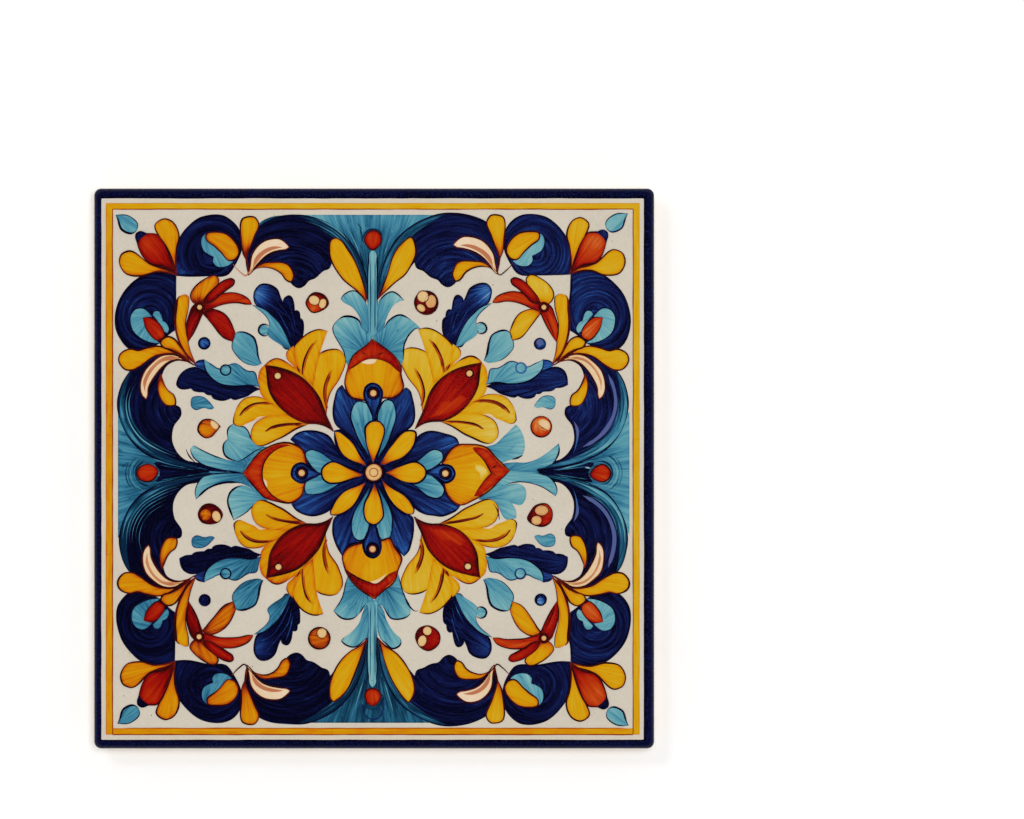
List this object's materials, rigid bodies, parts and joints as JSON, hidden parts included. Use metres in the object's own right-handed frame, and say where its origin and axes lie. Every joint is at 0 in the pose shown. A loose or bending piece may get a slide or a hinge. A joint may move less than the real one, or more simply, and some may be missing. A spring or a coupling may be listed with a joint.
{
  "type": "talavera tile",
  "caption": "Square glazed ceramic wall tile with a painted talavera face, rolled glazed edge, tapered sides and a dented keyed back inside a flat rim.",
  "frame": {"origin": "middle of the back, in the plane that the tile rests on", "axes": "+Z out of the glazed face, +Y to the top edge of the pattern, +X to its right"},
  "size_m": [0.1524, 0.1524, 0.008],
  "materials": {
    "glazed_tile": "satin",
    "bisque": "matte",
    "white_glaze": "satin",
    "cobalt_paint": "satin",
    "turquoise_paint": "satin",
    "yellow_paint": "satin",
    "red_paint": "satin",
    "line_paint": "satin"
  },
  "bodies": {
    "root": {"tile": "glazed_tile"}
  },
  "joints": []
}
